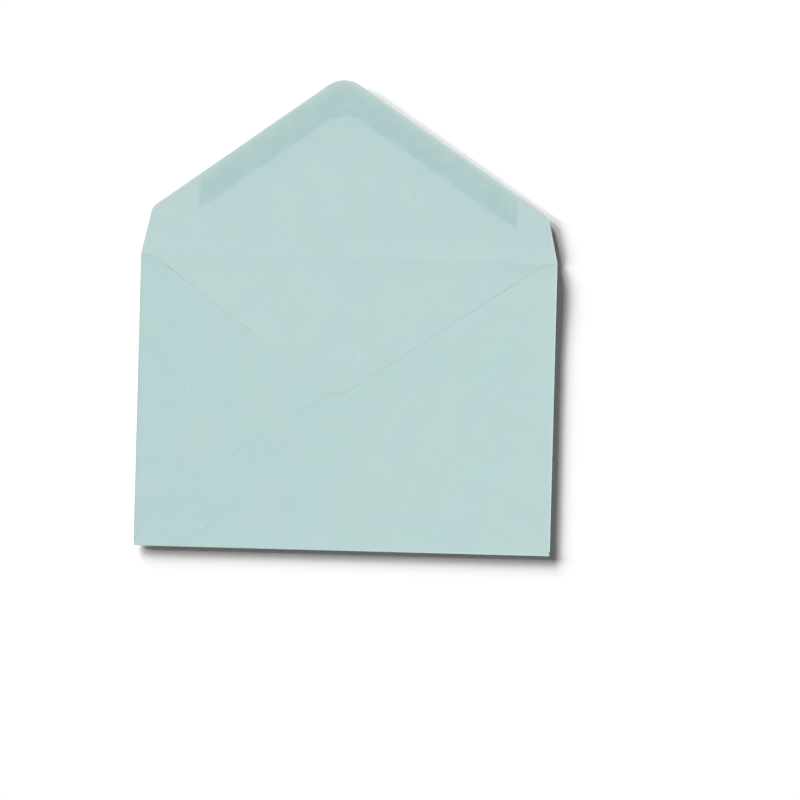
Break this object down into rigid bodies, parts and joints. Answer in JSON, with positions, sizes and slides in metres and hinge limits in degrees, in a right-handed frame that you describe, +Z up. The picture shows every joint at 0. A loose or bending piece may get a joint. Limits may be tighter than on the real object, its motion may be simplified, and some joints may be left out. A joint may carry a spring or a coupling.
{
  "type": "paper envelope",
  "caption": "Coloured paper envelope for a folded letter or card, lying back up with its pointed, gummed flap open above a V-shaped throat.",
  "frame": {"origin": "middle of the front panel's underside, on which the envelope lies", "axes": "+Y from the bottom fold towards the seal flap's point, +Z up from the table through the back of the envelope, +X across it along the folds"},
  "size_m": [0.162, 0.183, 0.0009],
  "materials": {
    "paper": "uncoated blue-green paper with small fibre flecks, matt",
    "gum": "paper under a thin film of dried gum, slight sheen"
  },
  "bodies": {
    "root": {"envelope": "paper", "gum_strip": "gum"}
  },
  "joints": []
}
